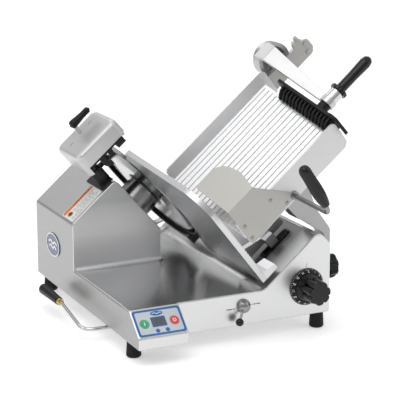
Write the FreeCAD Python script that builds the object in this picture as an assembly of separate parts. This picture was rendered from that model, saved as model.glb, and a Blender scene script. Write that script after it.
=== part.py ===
import FreeCAD, Part
import math
import os

# Gravity-feed deli slicer.  Working frame: x to the operator's right, y away from the
# operator, z up, all in millimetres.  x = 0 is the casting's left side, y = 0 its front
# face and z = FOOT_LOW the soles of the feet.  Everything that leans is drawn in the tilted
# frame (s, y, u): s is the knife's axis, u runs up the knife's plane.  The finished
# pieces are moved so that the origin is the bottom centre of the whole machine.

V = FreeCAD.Vector
X_AXIS = V(1, 0, 0)
Y_AXIS = V(0, 1, 0)
Z_AXIS = V(0, 0, 1)

# ---- driving dimensions -----------------------------------------------------------
TILT = 41.0            # lean of the knife's axis above the horizontal
FLOOR_LEAN = 30.0      # cross fall of the product table towards the operator
KNIFE_R = 165.1        # 13 inch knife
KNIFE_S = 356.0        # plane of the cutting edge
KNIFE_Y = 421.0
KNIFE_U = 54.0

BASE_W = 520.0
BASE_D = 600.0
WALL = 6.0
FOOT_H = 32.0          # underside of the casting
FOOT_LOW = -8.0        # soles of the rubber feet
DECK_Z = 110.0
KNEE_X = 344.0
PEAK_X = 488.0
PEAK_Z = 235.2
RIGHT_Z = 203.0
RIM = 8.0             # width of the raised rim round the receiving deck
COVE_R = 12.0
RECESS = 3.0           # depth of the deck below that rim

PANEL_W = 123.0
PANEL_OUT = 60.0
PANEL_FRONT_Z = 60.0
PANEL_RUN = 56.0

TOWER_Y = 339.0
TOWER_LEFT_Z = 224.0
APEX_X = 114.5
APEX_Z = 323.4
SHOULDER_X = 232.6
SHOULDER_Z = 187.6
FACE_S = 298.6         # tower face that carries the knife
FACE_U = 169.0         # tower's upper slanted face

HUB_R = 47.0
SHAFT_R = 12.0
BEARING_R = 30.0
KNIFE_PULLEY_R = 60.0
MOTOR_PULLEY_R = 24.0
MOTOR_Y = 530.0
MOTOR_U = 20.0
MOTOR_R = 52.0
BELT_S = 262.0
BELT_W = 14.0
BELT_T = 4.0

GAUGE_FACE_S = 355.0
GAUGE_T = 13.0
GAUGE_TRAVEL = 20.0
GAUGE_ROD_Y = 114.0
GAUGE_ROD_U = -215.0
GAUGE_ROD_R = 8.0
INDEX_X = 456.4
INDEX_Z = 103.0
INDEX_TURN = 300.0
CAM_R_CLOSED = 29.0
CAM_Y = 12.0

CARRIAGE_X = 480.0
CARRIAGE_Z = 61.0
CARRIAGE_ROD_R = 11.0
HINGE_X = 539.0        # pin the chute tilts about for cleaning
HINGE_Z = 63.0

TABLE_S0 = 361.0
TABLE_S1 = 674.0
TABLE_Y = 100.0        # inner face of the rear wall
TABLE_U = 174.4        # floor level at the rear wall
TABLE_IN = 234.4       # floor width along its own cross fall
TABLE_FRONT_Y = -103.0
WALL_T = 6.0
REAR_TOP_U = 206.0
FRONT_TOP_U = 91.5
FRONT_LOW_U = 25.0
RIBS = 19

PUSH_ROD_Y = 146.0
PUSH_ROD_U = 157.0
PUSH_ROD_R = 9.0
PUSH_S = 684.0
GRIP_Y = -60.0
GRIP_U = 110.0

SHARP_Y0 = 341.0
SHARP_Y1 = 480.0
LEVER_S = 327.0
LEVER_Y = 436.0

SELECT_X = 289.5
SELECT_Z = 78.8
LIFT_Y = 150.0
LIFT_Z = 22.0
RUN_FIT = 0.05         # radial clearance of a shaft in its bearing
GAP = 0.3              # clearance between other moving faces
ORIGIN_X = 260.0       # middle of the machine's plan, from the casting's corner
ORIGIN_Y = 180.75


# ---- helpers ----------------------------------------------------------------------
def box(x0, x1, y0, y1, z0, z1):
    return Part.makeBox(x1 - x0, y1 - y0, z1 - z0, V(x0, y0, z0))


def cyl_x(x0, x1, y, z, r):
    return Part.makeCylinder(r, x1 - x0, V(x0, y, z), X_AXIS)


def cyl_y(y0, y1, x, z, r):
    return Part.makeCylinder(r, y1 - y0, V(x, y0, z), Y_AXIS)


def cyl_z(z0, z1, x, y, r):
    return Part.makeCylinder(r, z1 - z0, V(x, y, z0), Z_AXIS)


def rod_between(p, q, r):
    axis = q.sub(p)
    return Part.makeCylinder(r, axis.Length, p, axis)


def rounded_wire(points, radii):
    """Closed wire through points, each corner rounded by its own radius."""
    count = len(points)
    edges = []
    starts = []
    ends = []
    mids = []
    for i in range(count):
        here = points[i]
        before = points[i - 1].sub(here).normalize()
        after = points[(i + 1) % count].sub(here).normalize()
        r = radii[i] if isinstance(radii, (list, tuple)) else radii
        if r <= 0:
            starts.append(here)
            ends.append(here)
            mids.append(None)
            continue
        half = before.getAngle(after) / 2
        cut = r / math.tan(half)
        bisector = before.add(after).normalize()
        centre = here.add(bisector * (r / math.sin(half)))
        starts.append(here.add(before * cut))
        ends.append(here.add(after * cut))
        mids.append(centre.sub(bisector * r))
    for i in range(count):
        if mids[i] is not None:
            edges.append(Part.Arc(starts[i], mids[i], ends[i]).toShape())
        far = starts[(i + 1) % count]
        if ends[i].distanceToPoint(far) > 1e-6:
            edges.append(Part.LineSegment(ends[i], far).toShape())
    return Part.Wire(edges)


def prism_y(points, y0, y1, radii=0):
    """Outline given as (x, z) pairs, extruded from y0 to y1."""
    wire = rounded_wire([V(x, y0, z) for x, z in points], radii)
    return Part.Face(wire).extrude(V(0, y1 - y0, 0))


def prism_x(points, x0, x1, radii=0):
    """Outline given as (y, z) pairs, extruded from x0 to x1."""
    wire = rounded_wire([V(x0, y, z) for y, z in points], radii)
    return Part.Face(wire).extrude(V(x1 - x0, 0, 0))


def prism_z(points, z0, z1, radii=0):
    """Outline given as (x, y) pairs, extruded from z0 to z1."""
    wire = rounded_wire([V(x, y, z0) for x, y in points], radii)
    return Part.Face(wire).extrude(V(0, 0, z1 - z0))


def tube_path(points, r, bend):
    """Round bar along straight runs joined by tangent arcs of radius bend."""
    pieces = []
    start = points[0]
    for i in range(1, len(points) - 1):
        here = points[i]
        back = points[i - 1].sub(here).normalize()
        on = points[i + 1].sub(here).normalize()
        half = back.getAngle(on) / 2
        cut = bend / math.tan(half)
        centre = here.add(back.add(on).normalize() * (bend / math.sin(half)))
        a = here.add(back * cut)
        disc = Part.Face(Part.Wire(Part.makeCircle(r, a, back)))
        turn = 180 - math.degrees(2 * half)
        pieces.append(rod_between(start, a, r))
        pieces.append(disc.revolve(centre, on.cross(back), turn))
        start = here.add(on * cut)
    pieces.append(rod_between(start, points[-1], r))
    return fuse(pieces)


def revolve_s(profile, y, u):
    """Solid of revolution about the s direction; profile is (s, r) pairs."""
    face = Part.Face(Part.makePolygon([V(s, y, u + r) for s, r in profile + profile[:1]]))
    return face.revolve(V(0, y, u), X_AXIS, 360)


def fuse(shapes):
    return shapes[0].multiFuse(shapes[1:]).removeSplitter()


def fillet_near(shape, r, test):
    """Round the edges whose midpoint passes test."""
    chosen = []
    for edge in shape.Edges:
        middle = edge.valueAt((edge.FirstParameter + edge.LastParameter) / 2)
        if test(middle, edge):
            chosen.append(edge)
    return shape.makeFillet(r, chosen)


def tilt(shape):
    """From the tilted frame (s, y, u) to the upright frame."""
    done = shape.copy()
    done.rotate(V(0, 0, 0), Y_AXIS, -TILT)
    return done


def on_floor(shape):
    """From the table's floor frame (s, across, up) to the tilted frame."""
    done = shape.copy()
    done.rotate(V(0, 0, 0), X_AXIS, FLOOR_LEAN)
    done.translate(V(0, TABLE_Y, TABLE_U))
    return done


def on_panel(shape):
    """From the panel's frame (x, up the slope, outwards) to the upright frame."""
    rise = math.degrees(math.atan2(DECK_Z - PANEL_FRONT_Z, PANEL_RUN))
    done = shape.copy()
    done.rotate(V(0, 0, 0), X_AXIS, rise)
    done.translate(V(0, -PANEL_OUT, PANEL_FRONT_Z))
    return done


def floor_u(y):
    return TABLE_U + (y - TABLE_Y) * math.tan(math.radians(FLOOR_LEAN))


# ---- base -------------------------------------------------------------------------
def deck_outline(inset, low):
    """Front view of the base, shrunk by inset on every wall, down to height low."""
    t = math.tan(math.radians(TILT / 2)) * inset
    fall = (PEAK_Z - RIGHT_Z) / (BASE_W - PEAK_X)
    right_top = RIGHT_Z - inset * math.hypot(1, fall) + inset * fall
    steep = math.radians(TILT)
    peak_x = PEAK_X + inset * math.sin(steep) * 0.2
    return [
        (inset, low),
        (BASE_W - inset, low),
        (BASE_W - inset, right_top),
        (peak_x, PEAK_Z - inset * 1.3),
        (KNEE_X + t, DECK_Z - inset),
        (inset, DECK_Z - inset),
    ]


def tower_outline(inset, low):
    """Front view of the motor tower, shrunk by inset."""
    side = math.radians(TILT)
    corner = inset * math.tan(math.radians((90 - TILT) / 2))
    shoulder = inset * math.tan(math.radians((90 - TILT) / 2))
    return [
        (inset, low),
        (SHOULDER_X - inset, low),
        (SHOULDER_X - inset, SHOULDER_Z - shoulder),
        (APEX_X - inset * (math.cos(side) - math.sin(side)), APEX_Z - inset * (math.cos(side) + math.sin(side))),
        (inset, TOWER_LEFT_Z - corner),
    ]


def panel_outline(inset, low):
    """Side view of the control panel's box."""
    return [
        (-PANEL_OUT + inset, low),
        (40, low),
        (40, DECK_Z - inset),
        (-PANEL_OUT + PANEL_RUN + inset * 0.35, DECK_Z - inset),
        (-PANEL_OUT + inset, PANEL_FRONT_Z - inset * 0.35),
    ]


def ends_test(y_values):
    def test(p, edge):
        return any(abs(p.y - y) < 0.01 for y in y_values)
    return test


def base_casting():
    body = prism_y(deck_outline(0, FOOT_H), 0, BASE_D, [5, 5, 20, 22, 26, 7])
    body = fillet_near(body, 3.2, ends_test([0, BASE_D]))
    tower = prism_y(tower_outline(0, FOOT_H), TOWER_Y, BASE_D, [5, 3, 14, 16, 12])
    tower = fillet_near(tower, 4.5, lambda p, e: abs(p.y - BASE_D) < 0.01)
    tower = fillet_near(tower, 2.5, lambda p, e: abs(p.y - TOWER_Y) < 0.01)
    panel = prism_x(panel_outline(0, FOOT_H), 0, PANEL_W, [4, 0, 0, 7, 7])
    panel = fillet_near(panel, 4, lambda p, e: abs(p.x) < 0.01 or abs(p.x - PANEL_W) < 0.01)
    lip = prism_y(
        [(220, DECK_Z - 20), (PEAK_X - 30, PEAK_Z - 60), (PEAK_X - 30, PEAK_Z - 3),
         (KNEE_X - 6, DECK_Z + 24), (220, DECK_Z + 24)],
        BASE_D - 26, BASE_D - 1, [0, 0, 10, 30, 0])
    outer = fuse([body, tower, panel, lip])

    deep = RECESS
    trough = prism_y(
        [(RIM, DECK_Z - deep), (KNEE_X + 1.5, DECK_Z - deep), (PEAK_X - 6, PEAK_Z - 10.4),
         (PEAK_X - 6, PEAK_Z + 40), (KNEE_X - 60, PEAK_Z + 40), (RIM, DECK_Z + 40)],
        RIM, BASE_D - 26, [3, 22, 0, 0, 0, 0])
    trough = trough.cut(tower)
    outer = fuse([outer.cut(trough)] + deck_coves())

    inside = prism_y(deck_outline(WALL + RECESS, FOOT_H - 1), WALL, BASE_D - WALL, 0)
    tower_in = prism_y(tower_outline(WALL, FOOT_H - 1), TOWER_Y + WALL, BASE_D - WALL, 0)
    panel_in = prism_x(panel_outline(WALL, FOOT_H - 1), WALL, PANEL_W - WALL, 0)
    cavity = fuse([inside, tower_in, panel_in])
    shell = outer.cut(cavity)

    cuts = [
        tilt(cyl_x(FACE_S - 20, FACE_S + 5, KNIFE_Y, KNIFE_U, 34)),
        tilt(box(398, 490, GAUGE_ROD_Y - 14, GAUGE_ROD_Y + 14, -175, -120)),
        cyl_y(-5, 15, INDEX_X, INDEX_Z, 7),
        cyl_y(-5, 15, SELECT_X, SELECT_Z, 6.2),
        box(BASE_W - 20, BASE_W + 5, 24, 556, 50, 76),
        cyl_y(BASE_D - 20, BASE_D + 5, 60, 62, 9),
    ]
    for x, v, r in BUTTONS:
        cuts.append(on_panel(cyl_z(-15, 5, x, v, r + 0.4)))
    cuts.append(on_panel(box(DISPLAY[0] + 1, DISPLAY[1] - 1, DISPLAY[2] + 1, DISPLAY[3] - 1, -15, 5)))
    for piece in cuts:
        shell = shell.cut(piece)
    ribs = [
        box(KNEE_X + 116, BASE_W - 4, WALL - 1, 11, 42, 80),
        box(KNEE_X + 116, BASE_W - 4, BASE_D - 24, BASE_D - WALL + 1, 42, 80),
        prism_y([(INDEX_X - 3, INDEX_Z + 48), (INDEX_X + 3, INDEX_Z + 48), (INDEX_X, INDEX_Z + 57)], -0.8, 2),
    ]
    for rib in ribs + gauge_rod_brackets():
        shell = shell.fuse(rib)
    shell = shell.cut(cyl_y(8, BASE_D - 8, CARRIAGE_X, CARRIAGE_Z, CARRIAGE_ROD_R))
    return shell.removeSplitter()


def deck_coves():
    """Hollow curves where the tower's walls run down into the deck."""
    r = COVE_R
    low = DECK_Z - RECESS
    corner_x = SHOULDER_X - 3
    corner_y = TOWER_Y + 3
    front = box(RIM - 1, corner_x, TOWER_Y - r, TOWER_Y + 1, low - 1, low + r)
    front = front.cut(cyl_x(0, 400, TOWER_Y - r, low + r, r))
    side = box(SHOULDER_X - 1, SHOULDER_X + r, corner_y, BASE_D - 25, low - 1, low + r)
    side = side.cut(cyl_y(0, 700, SHOULDER_X + r, low + r, r))
    corner = cyl_z(low - 1, low + r, corner_x, corner_y, 3 + r)
    corner = corner.cut(Part.makeTorus(3 + r, r, V(corner_x, corner_y, low + r), Z_AXIS))
    return [front, side, corner]


def bottom_cover():
    plate = box(11, BASE_W - 11, WALL + 1, BASE_D - WALL - 1, FOOT_H, FOOT_H + 3)
    return fuse([plate] + lift_brackets())


COVER_SCREWS = [(60, 60), (60, 520), (440, 60), (440, 520), (250, 300)]
FEET = [(21, 19), (497, 21), (24, 568), (496, 578)]


def screw_down(x, y, z, r, h):
    head = cyl_z(z - h, z, x, y, r)
    return head.cut(box(x - r, x + r, y - 0.6, y + 0.6, z - h - 1, z - h + 0.9))


def bottom_cover_screws():
    return Part.makeCompound([screw_down(x, y, FOOT_H, 5, 3) for x, y in COVER_SCREWS])


def rubber_feet():
    feet = []
    for x, y in FEET:
        cone = Part.makeCone(18, 15.5, FOOT_H - FOOT_LOW, V(x, y, FOOT_LOW), Z_AXIS)
        feet.append(cone.makeFillet(6, [e for e in cone.Edges if abs(e.CenterOfMass.z - FOOT_LOW) < 0.01]))
    return Part.makeCompound(feet)


def cord_gland():
    nut = cyl_y(BASE_D, BASE_D + 9, 60, 62, 12)
    nose = Part.makeCone(10, 7, 12, V(60, BASE_D + 9, 62), Y_AXIS)
    thread = cyl_y(BASE_D - 12, BASE_D, 60, 62, 8.9)
    return fuse([nut, nose, thread]).cut(cyl_y(BASE_D - 20, BASE_D + 30, 60, 62, 4.5))


# ---- control panel ----------------------------------------------------------------
BUTTONS = [(25, 35, 8.5), (98, 35, 8.5), (51, 14.5, 4.6), (75, 14.5, 4.6)]
DISPLAY = (43, 77, 25, 49)      # window: across and up the slope
PANEL_LEN = math.hypot(PANEL_RUN, DECK_Z - PANEL_FRONT_Z)


def panel_overlay():
    sheet = prism_z([(3, 3), (PANEL_W - 3, 3), (PANEL_W - 3, PANEL_LEN - 4), (3, PANEL_LEN - 4)], 0, 1.4, 7)
    for x, v, r in BUTTONS:
        sheet = sheet.cut(cyl_z(-1, 3, x, v, r + 0.3))
    sheet = sheet.cut(box(DISPLAY[0], DISPLAY[1], DISPLAY[2], DISPLAY[3], -1, 3))
    return on_panel(sheet)


def display_window():
    x0, x1, v0, v1 = DISPLAY
    return on_panel(fuse([box(x0 + 1, x1 - 1, v0 + 1, v1 - 1, -6, 0.2), box(x0, x1, v0, v1, 0, 1.6)]))


def control_board():
    board = box(14, PANEL_W - 14, 6, 54, -14, -12.4)
    chips = [box(30 + 26 * i, 44 + 26 * i, 18, 30, -12.4, -9.6) for i in range(3)]
    return on_panel(fuse([board] + chips))


def button(index):
    x, v, r = BUTTONS[index]
    cap = cyl_z(-5, 2.4, x, v, r)
    cap = cap.makeFillet(0.6, [e for e in cap.Edges if abs(e.CenterOfMass.z - 2.4) < 0.01])
    return on_panel(cap)


# ---- knobs and selector on the front ------------------------------------------------
def index_dial():
    skirt = Part.makeCone(45, 37, 9, V(INDEX_X, -2, INDEX_Z), V(0, -1, 0))
    skirt = fuse([skirt, cyl_y(-2, -GAP, INDEX_X, INDEX_Z, 45)])
    return skirt.cut(cyl_y(-20, 5, INDEX_X, INDEX_Z, 6))


def index_knob():
    core = cyl_y(-66, -11, INDEX_X, INDEX_Z, 21)
    lobes = []
    for i in range(7):
        a = 2 * math.pi * i / 7 + 0.2
        lobes.append(cyl_y(-66, -22, INDEX_X + 19.5 * math.cos(a), INDEX_Z + 19.5 * math.sin(a), 9.5))
    body = fuse([core] + lobes + [Part.makeCone(34, 25, 14, V(INDEX_X, -11, INDEX_Z), V(0, -1, 0))])
    crown = Part.makeCone(36, 25.5, 12, V(INDEX_X, -55, INDEX_Z), V(0, -1, 0))
    body = fuse([body.common(cyl_y(-55, 0, INDEX_X, INDEX_Z, 60)), body.common(crown)])
    return body.cut(cyl_y(-50, 5, INDEX_X, INDEX_Z, 6))


def spiral_point(turn, offset):
    r = CAM_R_CLOSED - GAUGE_TRAVEL * turn / INDEX_TURN + offset
    a = math.radians(TILT - turn)
    return V(INDEX_X + r * math.cos(a), CAM_Y, INDEX_Z + r * math.sin(a))


def index_cam():
    disc = cyl_y(CAM_Y, CAM_Y + 8, INDEX_X, INDEX_Z, CAM_R_CLOSED + 6)
    shaft = cyl_y(-50, CAM_Y + 1, INDEX_X, INDEX_Z, 6)
    turns = [-10 + 10 * i for i in range(35)]
    outer = Part.BSplineCurve()
    outer.interpolate([spiral_point(t, 4.3) for t in turns])
    inner = Part.BSplineCurve()
    inner.interpolate([spiral_point(t, -4.3) for t in turns])
    caps = [Part.LineSegment(spiral_point(t, 4.3), spiral_point(t, -4.3)).toShape() for t in (turns[0], turns[-1])]
    wire = Part.Wire(Part.sortEdges([outer.toShape(), inner.toShape()] + caps)[0])
    groove = Part.Face(wire).extrude(V(0, 8, 0))
    groove.translate(V(0, 2, 0))
    return fuse([disc.cut(groove), shaft])


BALL = V(270, -20, 48)
BALL_ROOT = V(SELECT_X - 7, -9, SELECT_Z - 9)


def selector_dome():
    ball = Part.makeSphere(17, V(SELECT_X, 0, SELECT_Z))
    dome = ball.common(box(SELECT_X - 30, SELECT_X + 30, -30, -GAP, SELECT_Z - 30, SELECT_Z + 30))
    return fuse([dome, cyl_y(-GAP - 1, 18, SELECT_X, SELECT_Z, 6), rod_between(BALL_ROOT, BALL, 3)])


def selector_ball():
    bore = rod_between(BALL_ROOT, BALL, 3)
    return Part.makeSphere(9.5, BALL).cut(bore)


# ---- knife and drive ----------------------------------------------------------------
def hub_housing():
    barrel = cyl_x(FACE_S + 0.1, 336.6, KNIFE_Y, KNIFE_U, HUB_R)
    neck = cyl_x(FACE_S - 14, FACE_S + 1, KNIFE_Y, KNIFE_U, 33.9)
    bore = cyl_x(FACE_S - 20, 340, KNIFE_Y, KNIFE_U, SHAFT_R + 3)
    seats = [cyl_x(FACE_S - 14, FACE_S, KNIFE_Y, KNIFE_U, BEARING_R), cyl_x(322, 336.6, KNIFE_Y, KNIFE_U, BEARING_R)]
    body = fuse([barrel, neck]).cut(bore)
    for seat in seats:
        body = body.cut(seat)
    return tilt(body)


def knife_bearings():
    rings = []
    for s0 in (FACE_S - 14, 322):
        ring = cyl_x(s0, s0 + 14, KNIFE_Y, KNIFE_U, BEARING_R)
        rings.append(tilt(ring.cut(cyl_x(s0 - 1, s0 + 15, KNIFE_Y, KNIFE_U, SHAFT_R + RUN_FIT))))
    return Part.makeCompound(rings)


KNIFE_STUDS = [(34 * math.cos(math.radians(a)), 34 * math.sin(math.radians(a))) for a in (30, 150, 270)]


def knife_spindle():
    shaft = cyl_x(246, 347, KNIFE_Y, KNIFE_U, SHAFT_R)
    profile = [(336.9, 0), (336.9, HUB_R - 1.5), (344, HUB_R - 1.5), (344, 52), (347, 56), (347, 0)]
    body = fuse([shaft, revolve_s(profile, KNIFE_Y, KNIFE_U)])
    studs = [cyl_x(345, 352, KNIFE_Y + dy, KNIFE_U + du, 3.2) for dy, du in KNIFE_STUDS]
    return tilt(fuse([body] + studs))


def knife():
    profile = [(347, 0), (347, 70), (346, 100), (350, 148), (355.4, KNIFE_R), (356, KNIFE_R),
               (352.6, 146), (350, 120), (350, 0)]
    blade = revolve_s(profile, KNIFE_Y, KNIFE_U)
    for dy, du in KNIFE_STUDS:
        blade = blade.cut(cyl_x(340, 360, KNIFE_Y + dy, KNIFE_U + du, 3.2))
    return tilt(blade)


def pulley(y, u, r, bore):
    wheel = cyl_x(BELT_S - 2, BELT_S + BELT_W + 2, y, u, r + 3)
    groove = cyl_x(BELT_S - 0.5, BELT_S + BELT_W + 0.5, y, u, r + 5)
    groove = groove.cut(cyl_x(BELT_S - 1, BELT_S + BELT_W + 1, y, u, r))
    wheel = wheel.cut(groove)
    return tilt(wheel.cut(cyl_x(BELT_S - 10, BELT_S + 30, y, u, bore)))


def belt_outline(grow):
    """Tangent loop round both pulleys, in the (y, u) plane."""
    dy = MOTOR_Y - KNIFE_Y
    du = MOTOR_U - KNIFE_U
    span = math.hypot(dy, du)
    lean = math.atan2(du, dy)
    wrap = math.acos((KNIFE_PULLEY_R - MOTOR_PULLEY_R) / span)
    big = KNIFE_PULLEY_R + grow
    small = MOTOR_PULLEY_R + grow

    def at(cy, cu, r, a):
        return V(BELT_S, cy + r * math.cos(a), cu + r * math.sin(a))
    a = at(KNIFE_Y, KNIFE_U, big, lean + wrap)
    b = at(KNIFE_Y, KNIFE_U, big, lean + math.pi)
    c = at(KNIFE_Y, KNIFE_U, big, lean - wrap)
    d = at(MOTOR_Y, MOTOR_U, small, lean - wrap)
    e = at(MOTOR_Y, MOTOR_U, small, lean)
    f = at(MOTOR_Y, MOTOR_U, small, lean + wrap)
    edges = [Part.Arc(a, b, c).toShape(), Part.LineSegment(c, d).toShape(),
             Part.Arc(d, e, f).toShape(), Part.LineSegment(f, a).toShape()]
    return Part.Face(Part.Wire(edges))


def drive_belt():
    outer = belt_outline(GAP + BELT_T).extrude(V(BELT_W, 0, 0))
    inner = belt_outline(GAP).extrude(V(BELT_W, 0, 0))
    return tilt(outer.cut(inner))


def drive_motor():
    can = cyl_x(112, 236, MOTOR_Y, MOTOR_U, MOTOR_R)
    can = can.makeFillet(5, [e for e in can.Edges if e.Length > 100 and e.Curve.TypeId == "Part::GeomCircle"])
    nose = cyl_x(236, 240, MOTOR_Y, MOTOR_U, 25)
    fins = [cyl_x(130 + 14 * i, 136 + 14 * i, MOTOR_Y, MOTOR_U, MOTOR_R + 2) for i in range(7)]
    body = fuse([can, nose] + fins)
    return tilt(body.cut(cyl_x(180, 250, MOTOR_Y, MOTOR_U, 7 + RUN_FIT)))


def motor_pulley():
    return fuse([pulley(MOTOR_Y, MOTOR_U, MOTOR_PULLEY_R, 7), tilt(cyl_x(182, 284, MOTOR_Y, MOTOR_U, 7))])


def motor_bracket():
    plate = box(240, 245, MOTOR_Y - 60, BASE_D - WALL - 0.2, MOTOR_U - 26, MOTOR_U + 40)
    plate = plate.cut(cyl_x(230, 250, MOTOR_Y, MOTOR_U, 14))
    ears = [box(245, FACE_S - WALL - 0.2, BASE_D - WALL - 8, BASE_D - WALL - 0.2, MOTOR_U - 20 + 40 * i, MOTOR_U - 8 + 40 * i)
            for i in range(2)]
    return tilt(fuse([plate] + ears)).cut(base_casting())


# ---- knife guards -------------------------------------------------------------------
GUARD_R0 = 168.5
GUARD_R1 = 173.5
GUARD_FROM = -116.0
GUARD_TO = 58.0


def guard_at(r, a):
    return V(0, KNIFE_Y + r * math.cos(math.radians(a)), KNIFE_U + r * math.sin(math.radians(a)))


def ring_sector(s0, s1, r0, r1, a0, a1):
    ring = cyl_x(s0, s1, KNIFE_Y, KNIFE_U, r1).cut(cyl_x(s0 - 1, s1 + 1, KNIFE_Y, KNIFE_U, r0))
    far = 2 * r1
    middle = (a0 + a1) / 2
    points = [V(s0 - 1, KNIFE_Y, KNIFE_U)]
    for a in (a0, (a0 + middle) / 2, middle, (a1 + middle) / 2, a1):
        points.append(guard_at(far, a).add(V(s0 - 1, 0, 0)))
    wedge = Part.Face(Part.makePolygon(points + points[:1])).extrude(V(s1 - s0 + 2, 0, 0))
    return ring.common(wedge)


def ring_guard():
    wall = ring_sector(343, 362, GUARD_R0, GUARD_R1, GUARD_FROM, GUARD_TO)
    flange = ring_sector(341, 345, 158, GUARD_R1, GUARD_FROM, GUARD_TO)
    low = guard_at(171, GUARD_FROM)
    boss = cyl_x(334, 354, low.y, low.z, 12)
    lug = cyl_x(337, 360, low.y + 6, low.z - 3, 7)
    tip = guard_at(171, GUARD_TO)
    end = cyl_x(341, 360, tip.y, tip.z, 6)
    knife_room = cyl_x(345, 370, KNIFE_Y, KNIFE_U, KNIFE_R + 2.5)
    guard = fuse([wall, flange, boss, lug, end]).cut(knife_room)
    return tilt(fuse([guard] + guard_posts()))


def guard_posts():
    """Stand-offs from the tower face to the guard's flange."""
    posts = []
    for a in (24, -18):
        p = guard_at(164, a)
        posts.append(fuse([cyl_x(FACE_S + 0.1, 342, p.y, p.z, 7), cyl_x(FACE_S + 0.1, FACE_S + 5, p.y, p.z, 11)]))
    return posts


def knife_cover():
    disc = revolve_s([(353.6, 0), (353.6, 118), (356.6, 132), (358.6, 132), (358.6, 0)], KNIFE_Y, KNIFE_U)
    strap = box(356.6, 358.6, KNIFE_Y + 100, KNIFE_Y + GUARD_R0 - 1, KNIFE_U - 18, KNIFE_U + 18)
    knob = cyl_x(358.6, 363, KNIFE_Y + 157, KNIFE_U, 5)
    return tilt(fuse([disc, strap, knob]))


# ---- sharpener ----------------------------------------------------------------------
STONES = [(340, 400), (366, 424)]


def sharpener_cup():
    plate = box(257.5, 297, 352, 452, FACE_U + 0.15, FACE_U + 3)
    cup = cyl_z(FACE_U + 1, FACE_U + 40, 283, 385, 17)
    return tilt(fuse([plate, cup]).cut(cyl_z(FACE_U + 6, FACE_U + 50, 283, 385, 9 + RUN_FIT)))


def sharpener_yoke():
    plate = prism_z([(273, 351), (385, 351), (385, 470), (273, 470)], 229, 237, 8)
    rear = box(330, 370, 462, SHARP_Y1 - 7, 233, 243)
    post = cyl_z(FACE_U + 6.5, 232, 283, 385, 9)
    collar = cyl_z(FACE_U + 40 + GAP, 230, 283, 385, 13)
    hook = prism_y([(306, 231), (306, 206), (316, 196), (326, 196), (326, 207), (319, 210), (319, 231)], 351, 366)
    near = prism_y([(332, 231), (332, 214), (342, 210), (345, 231)], 351, 368)
    far = prism_y([(360, 231), (360, 216), (384, 216), (384, 231)], 351, 372)
    pins = [cyl_z(220, 230, s, y, 3) for s, y in STONES]
    return tilt(fuse([plate, rear, post, collar, hook, near, far] + pins))


def sharpener_housing():
    """Saddle over the knife's rim: rounded box with a skirt hanging at each end."""
    points = [(260, SHARP_Y0), (398, SHARP_Y0), (398, SHARP_Y1), (260, SHARP_Y1)]
    body = prism_z(points, 217, 281, 20)
    body = fillet_near(body, 12, lambda p, e: abs(p.z - 281) < 0.01)
    inside = prism_z([(267, SHARP_Y0 + 7), (391, SHARP_Y0 + 7), (391, SHARP_Y1 - 7), (267, SHARP_Y1 - 7)], 210, 272, 13)
    body = body.cut(inside)
    under = box(272, 386, SHARP_Y0 - 5, SHARP_Y1 + 5, 200, 238.5)
    near = prism_y([(386, 200), (405, 200), (405, 238.5), (386, 238.5)], SHARP_Y0 - 5, SHARP_Y0 + 42, 0)
    body = body.cut(under).cut(near)
    return tilt(body.cut(cyl_z(260, 300, LEVER_S, LEVER_Y, 5 + RUN_FIT)))


def sharpener_post():
    return tilt(cyl_z(262, 304, LEVER_S, LEVER_Y, 5))


def sharpener_lever():
    """Waisted lever lying along the knife's axis, rounded at both ends."""
    start = LEVER_S - 9
    profile = [(start, 0)]
    for i in range(17):
        a = i / 16
        round_end = math.sqrt(max(0, 1 - (abs(2 * a - 1)) ** 8))
        waist = 11.5 - 4.0 * math.sin(math.pi * a) * a - 2.5 * a
        profile.append((start + 66 * a, waist * round_end + 0.4))
    profile.append((start + 66, 0))
    body = revolve_s(profile, LEVER_Y, 310)
    return tilt(body.cut(cyl_z(280, 304, LEVER_S, LEVER_Y, 5)))


def stone(index):
    s, y = STONES[index]
    wheel = cyl_z(221, 227.5, s, y, 9)
    return tilt(wheel.cut(cyl_z(210, 230, s, y, 3 + RUN_FIT)))


# ---- gauge plate --------------------------------------------------------------------
def gauge_plate():
    back = GAUGE_FACE_S - GAUGE_T
    r = 171.5
    high = guard_at(r, 131).add(V(back, 0, 0))
    middle = guard_at(r, 182).add(V(back, 0, 0))
    low = guard_at(r, 233).add(V(back, 0, 0))
    top_rear = V(back, 235, 247)
    top_front = V(back, -8, 191.5)
    round_mid = V(back, -42, 166)
    front = V(back, -60.7, 124.7)
    toe = V(back, 4, -130)
    heel = V(back, 298, -112)
    edges = [
        Part.Arc(high, middle, low).toShape(),
        Part.LineSegment(low, heel).toShape(),
        Part.LineSegment(heel, toe).toShape(),
        Part.LineSegment(toe, front).toShape(),
        Part.Arc(front, round_mid, top_front).toShape(),
        Part.LineSegment(top_front, top_rear).toShape(),
        Part.LineSegment(top_rear, high).toShape(),
    ]
    slab = Part.Face(Part.Wire(edges)).extrude(V(GAUGE_T, 0, 0))
    bevel = revolve_s([(back - 5, 150), (back - 5, 240), (back, 226), (GAUGE_FACE_S - 3, 173.5), (GAUGE_FACE_S - 3, 150)],
                      KNIFE_Y, KNIFE_U)
    plate = slab.cut(bevel)
    foot = prism_y([(GAUGE_FACE_S - 2, -130), (392, -130), (392, -118), (370, -114), (GAUGE_FACE_S - 2, -104)],
                   4, 58, 0)
    ribs = []
    for i in range(34):
        u = -112 + 9.5 * i
        ribs.append(box(GAUGE_FACE_S - 0.5, GAUGE_FACE_S + 1.8, -70, 300, u, u + 4.2))
    ribs = fuse(ribs).common(Part.Face(Part.Wire(edges)).extrude(V(GAUGE_T + 4, 0, 0)))
    return tilt(fuse([plate, foot, ribs]))


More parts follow.
